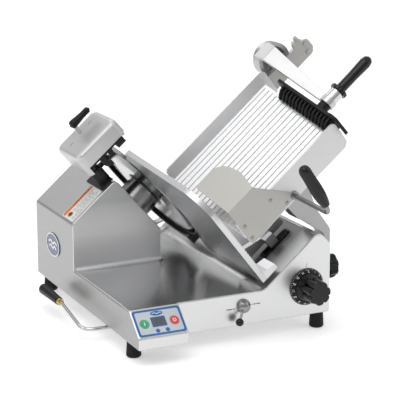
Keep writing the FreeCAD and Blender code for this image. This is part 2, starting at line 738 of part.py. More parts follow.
def gauge_arm():
    y0 = GAUGE_ROD_Y + 16
    bar = prism_y([(GAUGE_FACE_S, -134), (500, -134), (500, -112), (430, -118), (GAUGE_FACE_S, -96)],
                  y0, y0 + 18, [0, 8, 8, 30, 0])
    post = box(430, 456, GAUGE_ROD_Y - 8, GAUGE_ROD_Y + 8, -200, -116)
    web = box(430, 456, GAUGE_ROD_Y - 8, y0 + 2, -134, -118)
    return fuse([tilt(fuse([bar, post, web])), gauge_block()]).cut(gauge_plate())


def gauge_block():
    block = cyl_x(424, 462, GAUGE_ROD_Y, GAUGE_ROD_U, 17)
    block = fuse([block, box(430, 456, GAUGE_ROD_Y - 8, GAUGE_ROD_Y + 8, -206, -200)])
    block = fuse([block] + gauge_follower())
    return tilt(block.cut(cyl_x(420, 466, GAUGE_ROD_Y, GAUGE_ROD_U, GAUGE_ROD_R + RUN_FIT)))


def index_centre():
    a = math.radians(TILT)
    return (INDEX_X * math.cos(a) + INDEX_Z * math.sin(a), -INDEX_X * math.sin(a) + INDEX_Z * math.cos(a))


def gauge_follower():
    s0, u0 = index_centre()
    s = s0 + CAM_R_CLOSED
    return [cyl_y(CAM_Y + 3, GAUGE_ROD_Y - 10, s, u0, 3.7), cyl_y(CAM_Y + 14, GAUGE_ROD_Y - 10, s, u0, 7)]


def gauge_rod():
    return tilt(cyl_x(344, 480, GAUGE_ROD_Y, GAUGE_ROD_U, GAUGE_ROD_R))


def gauge_rod_brackets():
    """Two hangers cast under the sloping deck that hold the ends of the guide rod."""
    holders = []
    for s0 in (344, 468):
        foot = box(s0, s0 + 12, GAUGE_ROD_Y - 22, GAUGE_ROD_Y + 22, GAUGE_ROD_U - 13, GAUGE_ROD_U + 16)
        near = box(s0, s0 + 12, GAUGE_ROD_Y - 22, GAUGE_ROD_Y - 15, GAUGE_ROD_U, -150)
        far = box(s0, s0 + 12, GAUGE_ROD_Y + 15, GAUGE_ROD_Y + 22, GAUGE_ROD_U, -150)
        holder = fuse([foot, near, far])
        holders.append(tilt(holder.cut(cyl_x(s0 - 1, s0 + 13, GAUGE_ROD_Y, GAUGE_ROD_U, GAUGE_ROD_R))))
    return holders


def slot_boot():
    strip = prism_z([(399, GAUGE_ROD_Y - 13), (489, GAUGE_ROD_Y - 13), (489, GAUGE_ROD_Y + 13), (399, GAUGE_ROD_Y + 13)],
                    -158, -144, 12)
    hole = prism_z([(408, GAUGE_ROD_Y - 9), (460, GAUGE_ROD_Y - 9), (460, GAUGE_ROD_Y + 9), (408, GAUGE_ROD_Y + 9)],
                   -160, -140, 4)
    return tilt(strip.cut(hole))


# ---- carriage -----------------------------------------------------------------------
def carriage_rod():
    return cyl_y(8, BASE_D - 8, CARRIAGE_X, CARRIAGE_Z, CARRIAGE_ROD_R)


def carriage_block():
    """Linear bearing on the rod, with a neck out through the side slot to the hinge pin."""
    block = cyl_y(84, 172, CARRIAGE_X, CARRIAGE_Z, 20)
    neck = box(CARRIAGE_X + 12, 525, 88, 164, 54, 72)
    lug = prism_y([(521, 54), (HINGE_X + 8, 54), (HINGE_X + 8, 72), (521, 72)], 112, 138, [0, 7, 7, 0])
    pin = cyl_y(98, 152, HINGE_X, HINGE_Z, 4)
    bore = cyl_y(70, 180, CARRIAGE_X, CARRIAGE_Z, CARRIAGE_ROD_R + RUN_FIT)
    return fuse([block, neck, lug, pin]).cut(bore)


ARM_Y0 = 50.0
ARM_Y1 = 96.0
TABLE_ARM_S = (500.0, 586.0)
ARM_X = 547.0
KNOB_Y = 78.0
KNOB_Z = 120.0


def chute_arm():
    """Cast arm from the hinge at the carriage up to the underside of the table's floor."""
    a = math.radians(TILT)

    def at(s, u):
        return (s * math.cos(a) - u * math.sin(a), s * math.sin(a) + u * math.cos(a))
    low_u = -62
    top = floor_u(ARM_Y1)
    outline = [
        at(TABLE_ARM_S[0], top), at(TABLE_ARM_S[1], top), at(TABLE_ARM_S[1], low_u),
        (507, 276), (ARM_X, 222), (ARM_X, 50), (531, 50), (531, 212), (486, 242), (460, 255),
    ]
    arm = prism_y(outline, ARM_Y0, ARM_Y1, [0, 0, 20, 20, 20, 4, 4, 14, 6, 8])
    floor_cut = on_floor(box(TABLE_S0, TABLE_S1, -400, 100, -6, 60))
    arm = arm.cut(tilt(floor_cut))
    for y0 in (97, 139):
        fork = prism_y([(531, 54), (ARM_X, 54), (ARM_X, 90), (531, 90)], y0, y0 + 14, [8, 8, 3, 3])
        arm = arm.fuse(fork)
    arm = fuse([arm, box(535, ARM_X, ARM_Y1 - 1, 153, 80, 96)])
    arm = arm.cut(cyl_y(96.5, 160, HINGE_X, HINGE_Z, 4 + RUN_FIT))
    return arm.cut(cyl_x(520, 560, KNOB_Y, KNOB_Z, 6))


def release_knob():
    face = ARM_X + 0.4
    parts = [cyl_x(face, face + 27, KNOB_Y, KNOB_Z, 26)]
    for i in range(7):
        b = 2 * math.pi * i / 7
        parts.append(cyl_x(face + 5, face + 27, KNOB_Y + 24 * math.cos(b), KNOB_Z + 24 * math.sin(b), 7))
    head = fuse(parts)
    head = head.common(Part.makeCone(38, 27, 30, V(face, KNOB_Y, KNOB_Z), X_AXIS))
    return fuse([head, cyl_x(524, face + 1, KNOB_Y, KNOB_Z, 6 - RUN_FIT)])


# ---- product table ------------------------------------------------------------------
def product_table():
    floor = box(TABLE_S0, TABLE_S1, -TABLE_IN - 5, 4, -6, 0)
    pitch = TABLE_IN / RIBS
    ribs = []
    for i in range(RIBS):
        b = -TABLE_IN + pitch * (i + 0.5)
        ribs.append(prism_x([(b - 2.6, -0.5), (b + 2.6, -0.5), (b + 1.2, 2.4), (b - 1.2, 2.4)], TABLE_S0, TABLE_S1 - 8, 0))
    deck = on_floor(fuse([floor] + ribs))
    wall = prism_y([(TABLE_S0, 136), (688, 136), (692, REAR_TOP_U), (TABLE_S0 + 2, REAR_TOP_U)],
                   TABLE_Y, TABLE_Y + WALL_T, [4, 10, 12, 12])
    trim = [box(TABLE_S0 - 1, 700, TABLE_Y + 3, TABLE_Y + 40, 100, 240),
            box(TABLE_S0 - 1, 700, TABLE_FRONT_Y - 40, TABLE_FRONT_Y - 3, 0, 120)]
    return tilt(fuse([deck.cut(fuse(trim)), wall, table_front_wall()]))


def table_front_wall():
    outline = [(TABLE_S0 + 2, FRONT_LOW_U + 4), (667, FRONT_LOW_U), (680, FRONT_LOW_U + 8), (684, FRONT_TOP_U), (TABLE_S0 + 2, FRONT_TOP_U)]
    wall = prism_y(outline, TABLE_FRONT_Y - WALL_T, TABLE_FRONT_Y, [8, 6, 6, 10, 8])
    return wall


HANDLE_S = 507.0
HANDLE_U = 36.0
HANDLE_OUT = 136.0
GUARD_SCREWS = [(458, 74), (483, 39), (376, 76), (372, 42)]


def thumb_guard():
    y1 = TABLE_FRONT_Y - WALL_T
    y0 = y1 - 2
    face = prism_y([(363, 29), (510, 33), (512, 40), (446, 129), (368, 131)], y0, y1, [4, 4, 4, 8, 0])
    face = face.common(box(300, 600, y0, y1, 0, 129))
    fold_b = (y0 - TABLE_Y) * math.cos(math.radians(FLOOR_LEAN)) + (129 - TABLE_U) * math.sin(math.radians(FLOOR_LEAN))
    fold_h = -(y0 - TABLE_Y) * math.sin(math.radians(FLOOR_LEAN)) + (129 - TABLE_U) * math.cos(math.radians(FLOOR_LEAN))
    roof = prism_z([(368, fold_b), (446, fold_b), (458, fold_b + 50), (446, fold_b + 108), (368, fold_b + 108)],
                   fold_h - 2, fold_h, [0, 0, 30, 40, 10])
    guard = fuse([face, on_floor(roof)])
    for s, u in GUARD_SCREWS:
        guard = guard.cut(cyl_y(y0 - 5, y1 + 5, s, u, 2.5))
    guard = guard.cut(cyl_y(y0 - 5, y1 + 5, HANDLE_S, HANDLE_U, 6.5))
    return tilt(guard)


def guard_screws():
    y1 = TABLE_FRONT_Y - WALL_T - 2
    screws = []
    for s, u in GUARD_SCREWS:
        head = Part.makeSphere(5.5, V(s, y1 + 3, u)).common(box(s - 9, s + 9, y1 - 5, y1, u - 9, u + 9))
        screws.append(tilt(fuse([head, cyl_y(y1 - 0.5, y1 + 2, s, u, 2.5)])))
    return Part.makeCompound(screws)


def table_handle_rod():
    start = V(HANDLE_S, TABLE_FRONT_Y - WALL_T, HANDLE_U)
    corner = V(HANDLE_S + 2, TABLE_FRONT_Y - WALL_T - HANDLE_OUT, HANDLE_U - 18)
    tip = V(HANDLE_S + 16, TABLE_FRONT_Y - WALL_T - HANDLE_OUT, 130)
    rod = tube_path([start, corner, tip], 5.5, 18)
    flange = cyl_y(start.y - 6, start.y - 2.1, start.x, start.z, 10)
    behind = box(400, 600, start.y - 0.05, start.y + 20, 0, 100)
    return tilt(fuse([rod, flange]).cut(behind))


def table_handle_grip():
    y = TABLE_FRONT_Y - WALL_T - HANDLE_OUT
    foot = V(HANDLE_S + 7, y, 42)
    head = V(HANDLE_S + 21, y, 152)
    axis = head.sub(foot)
    profile = [(0, 9), (10, 11.5), (45, 14.5), (85, 13.5), (104, 11), (111, 0)]
    curve = Part.BSplineCurve()
    curve.interpolate([V(r, 0, h) for h, r in profile])
    side = curve.toShape()
    close = [Part.LineSegment(V(0, 0, 0), V(9, 0, 0)).toShape(), Part.LineSegment(V(0, 0, 111), V(0, 0, 0)).toShape()]
    body = Part.Face(Part.Wire(Part.sortEdges([side] + close)[0])).revolve(V(0, 0, 0), Z_AXIS, 360)
    body.Placement = FreeCAD.Placement(foot, FreeCAD.Rotation(Z_AXIS, axis))
    corner = V(HANDLE_S + 2, y, HANDLE_U - 18)
    tip = V(HANDLE_S + 16, y, 130)
    return tilt(body.cut(rod_between(corner, tip, 5.5)))


# ---- pusher -------------------------------------------------------------------------
def pusher_rod():
    return tilt(cyl_x(384, 824, PUSH_ROD_Y, PUSH_ROD_U, PUSH_ROD_R))


def pusher_bracket():
    y0 = TABLE_Y + WALL_T
    plate = prism_y([(380, 140), (812, 140), (824, 150), (824, 174), (814, 180), (380, 176)], y0, y0 + 6, [4, 6, 6, 6, 6, 4])
    lugs = [box(386, 400, y0, PUSH_ROD_Y + 14, PUSH_ROD_U - 15, PUSH_ROD_U + 15),
            box(802, 818, y0, PUSH_ROD_Y + 14, PUSH_ROD_U - 15, PUSH_ROD_U + 15)]
    body = fuse([plate] + lugs)
    body = body.cut(cyl_x(370, 840, PUSH_ROD_Y, PUSH_ROD_U, PUSH_ROD_R))
    return tilt(fuse([body, park_latch()] + bracket_screws()))


def bracket_screws():
    """Two round heads on the end of the bracket, towards the operator."""
    y0 = TABLE_Y + WALL_T
    return [cyl_y(y0 - 3, y0 + 1, s, u, 5) for s, u in ((812, 170), (806, 150))]


def park_latch():
    y0 = TABLE_Y + WALL_T
    clip = prism_y([(784, 178), (808, 178), (808, 194), (784, 190)], y0, y0 + 6, [0, 0, 4, 4])
    return fuse([clip, cyl_z(192, 201, 802, y0 + 3, 4.5)])


CARRIER_S = (703.0, 771.0)


def pusher_bush():
    tube = cyl_x(CARRIER_S[0] + 4, CARRIER_S[1] - 4, PUSH_ROD_Y, PUSH_ROD_U, 12)
    tube = fuse([tube, cyl_x(CARRIER_S[0], CARRIER_S[0] + 4, PUSH_ROD_Y, PUSH_ROD_U, 16),
                 cyl_x(CARRIER_S[1] - 4, CARRIER_S[1], PUSH_ROD_Y, PUSH_ROD_U, 16)])
    return tilt(tube.cut(cyl_x(690, 780, PUSH_ROD_Y, PUSH_ROD_U, PUSH_ROD_R + RUN_FIT)))


def bar_yu(points, width, s_range):
    """Bar of constant thickness along a centre line of (y, u) points."""
    parts = []
    for (y0, u0), (y1, u1) in zip(points, points[1:]):
        run = math.hypot(y1 - y0, u1 - u0)
        ny = -(u1 - u0) / run * width / 2
        nu = (y1 - y0) / run * width / 2
        parts.append(prism_x([(y0 + ny, u0 + nu), (y1 + ny, u1 + nu), (y1 - ny, u1 - nu), (y0 - ny, u0 - nu)],
                             s_range[0], s_range[1]))
        parts.append(cyl_x(s_range[0], s_range[1], y1, u1, width / 2))
    return fuse(parts)


def pusher_carrier():
    s0, s1 = CARRIER_S
    middle = (s0 + s1) / 2
    boss = cyl_x(s0 + 4 + GAP, s1 - 4 - GAP, PUSH_ROD_Y, PUSH_ROD_U, 19)
    ring = cyl_y(131, 161, middle, 186, 41)
    hollow = cyl_y(120, 150, middle, 188, 31)
    arm = bar_yu([(140, 224), (104, 219), (GRIP_Y, GRIP_U + 2)], 9, (s0 + 4, s1 - 18))
    taper = prism_z([(s0 + 5, 200), (s1 - 19, 200), (s1 - 19, 120), (724, GRIP_Y - 20), (709, GRIP_Y - 20), (s0 + 5, 120)],
                    60, 300, 0)
    arm = arm.common(taper)
    eye = cyl_x(709, 724, GRIP_Y, GRIP_U, 18)
    body = fuse([boss, ring.cut(hollow), arm, eye])
    body = body.cut(cyl_x(690, 780, PUSH_ROD_Y, PUSH_ROD_U, 12 + RUN_FIT))
    for a, b in ((690, s0 + 4 + GAP), (s1 - 4 - GAP, 785)):
        body = body.cut(cyl_x(a, b, PUSH_ROD_Y, PUSH_ROD_U, 16 + GAP))
    body = body.cut(cyl_x(700, 740, GRIP_Y, GRIP_U, 11))
    body = body.cut(cyl_x(724, 770, GRIP_Y, GRIP_U, 16))
    return tilt(body.cut(cyl_x(700, 709, GRIP_Y, GRIP_U, 14)))


def pusher_plate():
    """Toothed face above the ribs, with a tail that hooks over the table's front wall."""
    rear_y = 54.0
    front_y = -98.0
    lift = 3.0
    top = 46.0
    fall = math.radians(FLOOR_LEAN)
    b0 = (rear_y - TABLE_Y) / math.cos(fall)
    b1 = (front_y - TABLE_Y) / math.cos(fall)
    outline = [(b0, lift), (b0 + 10, top - 4), (b0 + 4, top), (b1 + 22, top), (b1 - 2, top - 18), (b1, lift)]
    plate = prism_x(outline, PUSH_S, PUSH_S + 7, [3, 6, 6, 14, 10, 3])
    count = 16
    pitch = (b0 - b1 - 10) / count
    parts = [plate]
    for i in range(count):
        b = b1 + 9 + pitch * i
        parts.append(prism_y([(PUSH_S - 22, lift + 1), (PUSH_S + 1, lift + 1), (PUSH_S + 1, top - 12),
                              (PUSH_S - 10, top - 14), (PUSH_S - 22, lift + 11)], b, b + pitch * 0.5))
    for h in (lift + 9, lift + 20):
        parts.append(box(PUSH_S - 8, PUSH_S + 1, b1 + 9, b0 - 3, h, h + 2.4))
    face = on_floor(fuse(parts))
    face = face.cut(box(PUSH_S - 40, PUSH_S + 20, -160, -99.5, 0, 95))
    tail = [(-88, 95), (-88, 106), (-100, 113), (-112, 110), (-121, 100), (-121, 52), (-116, 52), (-116, 95)]
    hook = prism_x(tail, PUSH_S, PUSH_S + 7, [0, 0, 6, 6, 6, 2, 2, 2])
    spacer = cyl_x(PUSH_S + 2, 709, GRIP_Y, GRIP_U, 14)
    return tilt(fuse([face, hook, spacer]))


def pusher_collar():
    bar = cyl_x(709, 748, GRIP_Y, GRIP_U, 11)
    return tilt(fuse([bar, cyl_x(724, 747, GRIP_Y, GRIP_U, 16)]))


def pusher_handle():
    """Black grip with a scalloped flange at its root."""
    profile = [(748, 0), (748, 14), (757, 13), (762, 12), (800, 12), (842, 13.5), (853, 11), (858, 5.5), (859, 0)]
    body = revolve_s(profile, GRIP_Y, GRIP_U)
    flange = cyl_x(749, 757, GRIP_Y, GRIP_U, 21)
    for i in range(10):
        a = 2 * math.pi * i / 10
        flange = flange.cut(cyl_x(740, 760, GRIP_Y + 24 * math.cos(a), GRIP_U + 24 * math.sin(a), 5))
    return tilt(fuse([body, flange]))


# ---- lift lever ---------------------------------------------------------------------
def lift_rod():
    shaft = [V(230, LIFT_Y, LIFT_Z), V(-50, LIFT_Y, LIFT_Z), V(-40, 318, 38)]
    rod = tube_path(shaft, 4.6, 28)
    end = rod_between(shaft[-1], V(-43, 390, 41), 4.6)
    knee = Part.makeSphere(4.6, shaft[-1])
    return fuse([rod, knee, end, lift_foot()])


def lift_foot():
    web = prism_x([(LIFT_Y - 7, LIFT_Z - 7), (LIFT_Y + 7, LIFT_Z - 7), (LIFT_Y + 7, LIFT_Z + 7), (LIFT_Y - 27, LIFT_Z + 7),
                   (LIFT_Y - 27, LIFT_Z - 5)], 120, 134, [3, 6, 3, 5, 5])
    return web


def lift_ferrule():
    a = V(-40, 318, 38)
    b = V(-43, 390, 41)
    d = b.sub(a).normalize()
    ring = rod_between(a.add(d * 6), a.add(d * 15), 8.5)
    return ring.cut(rod_between(a, b, 4.6))


def lift_grip():
    a = V(-40, 318, 38)
    b = V(-43, 390, 41)
    d = b.sub(a).normalize()
    start = a.add(d * 15)
    body = Part.makeCone(10, 13.5, 100, start, d)
    body = body.makeFillet(4, [max(body.Edges, key=lambda e: e.CenterOfMass.y)])
    return body.cut(rod_between(a, b, 4.6))


def lift_brackets():
    blocks = []
    for x in (40, 190):
        block = prism_x([(LIFT_Y - 14, FOOT_H), (LIFT_Y + 14, FOOT_H), (LIFT_Y + 9, LIFT_Z - 9), (LIFT_Y - 9, LIFT_Z - 9)],
                        x, x + 14, [0, 0, 6, 6])
        blocks.append(block.cut(cyl_x(x - 1, x + 15, LIFT_Y, LIFT_Z, 4.6 + RUN_FIT)))
    return blocks


# ---- badge and label ----------------------------------------------------------------
def badge():
    oval = Part.Face(Part.Wire(Part.Ellipse(V(0, 0, 0), 46, 30).toShape()))
    plate = oval.extrude(V(0, 0, 1.6))
    plate.rotate(V(0, 0, 0), X_AXIS, 90)
    plate.rotate(V(0, 0, 0), Z_AXIS, -90)
    plate.translate(V(0, 476, 139))
    return plate


def label_plate():
    sheet = prism_z([(153, 350), (256, 350), (256, 420), (153, 420)], FACE_U + 0.1, FACE_U + 0.7, 3)
    return tilt(sheet)


# ---- pieces -------------------------------------------------------------------------
PIECES = {
    "base_casting": base_casting,
    "bottom_cover": bottom_cover,
    "bottom_cover_screws": bottom_cover_screws,
    "rubber_feet": rubber_feet,
    "cord_gland": cord_gland,
    "panel_overlay": panel_overlay,
    "display_window": display_window,
    "control_board": control_board,
    "start_button": lambda: button(0),
    "stop_button": lambda: button(1),
    "mode_button": lambda: button(2),
    "speed_button": lambda: button(3),
    "index_dial": index_dial,
    "index_knob": index_knob,
    "index_cam": index_cam,
    "selector_dome": selector_dome,
    "selector_ball": selector_ball,
    "hub_housing": hub_housing,
    "knife_bearings": knife_bearings,
    "knife_spindle": knife_spindle,
    "knife": knife,
    "knife_pulley": lambda: pulley(KNIFE_Y, KNIFE_U, KNIFE_PULLEY_R, SHAFT_R),
    "motor_pulley": motor_pulley,
    "drive_belt": drive_belt,
    "drive_motor": drive_motor,
    "motor_bracket": motor_bracket,
    "ring_guard": ring_guard,
    "knife_cover": knife_cover,
    "sharpener_cup": sharpener_cup,
    "sharpener_yoke": sharpener_yoke,
    "sharpener_housing": sharpener_housing,
    "sharpener_lever": sharpener_lever,
    "sharpener_post": sharpener_post,
    "grinding_stone": lambda: stone(0),
    "truing_stone": lambda: stone(1),
    "gauge_plate": gauge_plate,
    "gauge_arm": gauge_arm,
    "gauge_rod": gauge_rod,
    "slot_boot": slot_boot,
    "carriage_rod": carriage_rod,
    "carriage_block": carriage_block,
    "chute_arm": chute_arm,
    "release_knob": release_knob,
    "product_table": product_table,
    "thumb_guard": thumb_guard,
    "guard_screws": guard_screws,
    "table_handle_rod": table_handle_rod,
    "table_handle_grip": table_handle_grip,
    "pusher_rod": pusher_rod,
    "pusher_bracket": pusher_bracket,
    "pusher_bush": pusher_bush,
    "pusher_carrier": pusher_carrier,
    "pusher_plate": pusher_plate,
    "pusher_collar": pusher_collar,
    "pusher_handle": pusher_handle,
    "lift_rod": lift_rod,
    "lift_ferrule": lift_ferrule,
    "lift_grip": lift_grip,
    "badge": badge,
    "label_plate": label_plate,
}


def main():
    os.makedirs("parts", exist_ok=True)
    whole = FreeCAD.BoundBox()
    for name, make in PIECES.items():
        shape = make()
        shape.translate(V(-ORIGIN_X, -ORIGIN_Y, -FOOT_LOW))
        whole.add(shape.BoundBox)
        good = shape.isValid() and all(s.Volume > 0 for s in shape.Solids)
        print(f"{name:24s} solids {len(shape.Solids):2d} volume {shape.Volume / 1000:9.2f} cm3 {'ok' if good else 'BAD'}")
        shape.exportStep(f"parts/{name}.step")
    print("x", whole.XMin, whole.XMax, "y", whole.YMin, whole.YMax, "z", whole.ZMin, whole.ZMax)


main()
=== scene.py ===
import math
import random

import bmesh
import bpy
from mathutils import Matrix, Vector


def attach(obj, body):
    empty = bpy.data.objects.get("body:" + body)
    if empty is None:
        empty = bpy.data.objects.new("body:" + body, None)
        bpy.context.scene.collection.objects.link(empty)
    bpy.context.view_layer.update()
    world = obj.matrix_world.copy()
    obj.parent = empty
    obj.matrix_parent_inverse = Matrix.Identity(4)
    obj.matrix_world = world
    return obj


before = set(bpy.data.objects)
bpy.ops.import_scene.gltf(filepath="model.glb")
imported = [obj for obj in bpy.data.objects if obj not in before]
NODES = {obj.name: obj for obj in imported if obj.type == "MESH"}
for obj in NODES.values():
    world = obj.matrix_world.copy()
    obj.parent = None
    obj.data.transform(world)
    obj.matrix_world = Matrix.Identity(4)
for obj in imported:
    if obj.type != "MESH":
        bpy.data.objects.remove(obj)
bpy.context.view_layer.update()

random.seed(7)

# ---- frames of the slicer -------------------------------------------------------
# Working millimetres start at the left front corner of the casting, with the feet's soles at -8.
OX = 0.26
OY = 0.18075
OZ = -0.008
TILT = math.radians(41)
ST, CT = math.sin(TILT), math.cos(TILT)
TILT_TURN = (0, TILT, 0)

# The control panel's sloping face: where it starts, how far it goes back and how far it climbs.
PANEL_Y = -60
PANEL_Z = 60
PANEL_RUN = 56
PANEL_CLIMB = 50
PANEL_LEN = math.hypot(PANEL_RUN, PANEL_CLIMB)
PANEL_TURN = math.atan2(PANEL_CLIMB, PANEL_RUN)

# The index dial: a rim against the front wall, then a cone that narrows forwards.
DIAL_X = 456.4
DIAL_Z = 103
DIAL_RIM = 45
DIAL_EDGE = 37
DIAL_BACK = -2
DIAL_HEIGHT = 9
SCALE_LIFT = 0.12

SADDLE_U = 281
SELECTOR_X = 289.5
SELECTOR_Z = 78.8
BADGE_Y = 476
BADGE_Z = 139
LABEL_U = 169


def upright(x, y, z):
    """Upright working millimetres to row metres."""
    return Vector((x / 1000 - OX, y / 1000 - OY, z / 1000 - OZ))


def tilted(s, y, u):
    """Tilted frame (along the knife's axis, back, up the knife) to row metres."""
    return upright(s * CT - u * ST, y, s * ST + u * CT)


KNIFE_CENTRE = tilted(350, 421, 54)


# Each surface below takes (across, up, out of the surface) in millimetres.
def panel(a, b, h):
    """The control panel's face."""
    y = PANEL_Y + b * math.cos(PANEL_TURN) - h * math.sin(PANEL_TURN)
    return upright(a, y, PANEL_Z + b * math.sin(PANEL_TURN) + h * math.cos(PANEL_TURN))


def dial_cone(a, b, h):
    """The index dial's cone, measured from its centre."""
    r = math.hypot(a, b)
    y = DIAL_BACK - DIAL_HEIGHT * (DIAL_RIM - r) / (DIAL_RIM - DIAL_EDGE)
    return upright(DIAL_X + a, max(DIAL_BACK - DIAL_HEIGHT, y) - SCALE_LIFT - h, DIAL_Z + b)


def saddle(a, b, h):
    """The sharpener's top."""
    return tilted(a, b, SADDLE_U + h)


def front(a, b, h):
    """The front wall, measured from the selector."""
    return upright(SELECTOR_X + a, -h, SELECTOR_Z + b)


def badge(a, b, h):
    """The left wall, measured from the badge."""
    return upright(-h, BADGE_Y - a, BADGE_Z + b)


def label(a, b, h):
    """The tower's sloping top."""
    return tilted(a, b, LABEL_U + h)


# ---- node graph helpers ---------------------------------------------------------
class Graph:
    """A material's node tree with short calls."""

    def __init__(self, name):
        self.mat = bpy.data.materials.new(name)
        self.mat.use_nodes = True
        self.tree = self.mat.node_tree
        self.tree.nodes.clear()
        self.out = self.new("ShaderNodeOutputMaterial")
        self.bsdf = self.new("ShaderNodeBsdfPrincipled")
        self.link(self.bsdf.outputs[0], self.out.inputs[0])
        self.coord = self.new("ShaderNodeTexCoord").outputs["Object"]

    def new(self, kind, **props):
        node = self.tree.nodes.new(kind)
        for key, value in props.items():
            setattr(node, key, value)
        return node

    def link(self, a, b):
        self.tree.links.new(a, b)

    def put(self, socket, value):
        """A link when the value is a socket, else the socket's own value."""
        if hasattr(value, "links"):
            self.link(value, socket)
        elif isinstance(value, tuple) and len(value) == 3 and socket.type == "RGBA":
            socket.default_value = (*value, 1)
        else:
            socket.default_value = value

    def mapped(self, scale=(1, 1, 1), turn=(0, 0, 0), move=(0, 0, 0), vector=None):
        node = self.new("ShaderNodeMapping")
        self.link(vector or self.coord, node.inputs["Vector"])
        node.inputs["Scale"].default_value = scale
        node.inputs["Rotation"].default_value = turn
        node.inputs["Location"].default_value = move
        return node.outputs[0]

    def split(self, vector):
        node = self.new("ShaderNodeSeparateXYZ")
        self.link(vector, node.inputs[0])
        return node.outputs

    def facing(self):
        """The three parts of the surface's normal."""
        return self.split(self.new("ShaderNodeNewGeometry").outputs["Normal"])

    def noise(self, scale, detail, rough, vector=None):
        node = self.new("ShaderNodeTexNoise")
        self.link(vector or self.coord, node.inputs["Vector"])
        node.inputs["Scale"].default_value = scale
        node.inputs["Detail"].default_value = detail
        node.inputs["Roughness"].default_value = rough
        return node.outputs[0]

    def math(self, op, a, b=0.0, c=0.0):
        node = self.new("ShaderNodeMath", operation=op)
        self.put(node.inputs[0], a)
        self.put(node.inputs[1], b)
        self.put(node.inputs[2], c)
        return node.outputs[0]

    def add(self, a, b):
        return self.math("ADD", a, b)

    def times(self, first, *factors):
        for factor in factors:
            first = self.math("MULTIPLY", first, factor)
        return first

    def span(self, value, lo, hi, to_lo, to_hi):
        """The value's range lo to hi, stretched to to_lo to to_hi and held at its ends."""
        node = self.new("ShaderNodeMapRange")
        self.put(node.inputs[0], value)
        for i, number in enumerate((lo, hi, to_lo, to_hi)):
            node.inputs[i + 1].default_value = number
        return node.outputs[0]

    def vary(self, noise, to_lo, to_hi):
        """The middle band of a noise, where nearly all of it lies, stretched to a range."""
        return self.span(noise, 0.3, 0.7, to_lo, to_hi)

    def grained(self, noise, depth):
        """A tone of 1 that the noise moves up and down by half of the depth."""
        return self.math("MULTIPLY_ADD", noise, depth, 1.0 - depth / 2)

    def mix(self, factor, a, b):
        node = self.new("ShaderNodeMix", data_type="RGBA")
        self.put(node.inputs[0], factor)
        self.put(node.inputs[6], a)
        self.put(node.inputs[7], b)
        return node.outputs[2]

    def shaded(self, tone, shade, tint):
        """A tinted shade, darkened by the tone."""
        return self.mix(tone, (0, 0, 0), tuple(shade * t for t in tint))

    def bump(self, height, strength, distance, normal):
        node = self.new("ShaderNodeBump")
        self.put(node.inputs["Strength"], strength)
        node.inputs["Distance"].default_value = distance
        self.put(node.inputs["Height"], height)
        self.link(normal, node.inputs["Normal"])
        return node.outputs[0]

    def rounded(self, radius):
        """A normal that rounds the edges off."""
        node = self.new("ShaderNodeBevel", samples=4)
        node.inputs["Radius"].default_value = radius
        return node.outputs[0]

    def finish(self, base, metal, rough, normal=None, **more):
        self.put(self.bsdf.inputs["Base Color"], base)
        self.put(self.bsdf.inputs["Metallic"], metal)
        self.put(self.bsdf.inputs["Roughness"], rough)
        if normal is not None:
            self.link(normal, self.bsdf.inputs["Normal"])
        for key, value in more.items():
            self.put(self.bsdf.inputs[key.replace("_", " ")], value)
        return self.mat


# ---- material recipes -----------------------------------------------------------
def grey(v):
    return (v, v, v * 1.01)


def satin_metal(name, shade, rough, scale, metal=1.0):
    """Cast or bead-blasted aluminium: fine grain, soft clouds, faint wear."""
    g = Graph(name)
    fine = g.noise(900, 3, 0.6, g.mapped(scale))
    soft = g.noise(6.0, 4, 0.5)
    spots = g.noise(55, 5, 0.6)
    tone = g.times(g.grained(fine, 0.06), g.vary(soft, 0.955, 1.045))
    colour = g.shaded(tone, shade, (1, 1.003, 1.008))
    r = g.add(g.vary(soft, rough - 0.035, rough + 0.035), g.vary(fine, -0.03, 0.03))
    r = g.add(r, g.span(spots, 0.45, 0.75, 0.0, 0.03))
    normal = g.bump(fine, 0.10, 0.00025, g.rounded(0.0012))
    return g.finish(colour, metal, r, normal)


def polished_casting(name, shade, rough, deck_rough):
    """Cast housing: satin walls, with the flat deck polished along its length."""
    g = Graph(name)
    fine = g.noise(900, 3, 0.6, g.mapped((1, 1, 0.16)))
    along = g.noise(260, 4, 0.6, g.mapped((1, 0.05, 1)))
    soft = g.noise(6.0, 4, 0.5)
    facing = g.facing()
    place = g.split(g.coord)
    # Painted light and shade: level faces are lighter, and the wall that looks left is darker.
    deck = g.span(facing[2], 0.80, 0.97, 0.0, 1.0)
    tone = g.times(g.grained(fine, 0.05), g.vary(soft, 0.96, 1.04), g.span(deck, 0.0, 1.0, 1.0, 1.2),
                   g.span(facing[0], -1.0, -0.7, 0.56, 1.0))
    # Painted shade: the slope right of the deck is dark, and the shade fades out towards both ends.
    painted_slope_shade = g.times(g.span(facing[0], -0.5, -0.62, 0.0, 1.0), g.span(place[0], 0.03, 0.06, 0.0, 1.0),
                    g.span(facing[2], 0.6, 0.7, 0.0, 1.0), g.span(place[1], -0.175, -0.11, 0.15, 1.0),
                    g.span(place[1], 0.0, 0.14, 1.0, 0.25))
    # Painted light and shade: the tower's front is lighter at its foot and grows darker towards its top.
    tower = g.times(g.span(facing[1], -0.9, -0.97, 0.0, 1.0), g.span(place[1], 0.15, 0.155, 0.0, 1.0))
    tower_painted_shade = g.math("SUBTRACT", g.span(place[2], 0.13, 0.28, 1.42, 0.52), 1.0)
    tone = g.times(tone, g.span(painted_slope_shade, 0.0, 1.0, 1.0, 0.24), g.math("MULTIPLY_ADD", tower, tower_painted_shade, 1.0))
    colour = g.shaded(tone, shade, (1, 1.003, 1.008))
    r = g.add(g.vary(soft, -0.03, 0.03), g.span(deck, 0.0, 1.0, rough, deck_rough))
    r = g.add(r, g.vary(along, -0.03, 0.04))
    normal = g.bump(fine, 0.08, 0.0002, g.rounded(0.0018))
    return g.finish(colour, 1.0, r, normal)


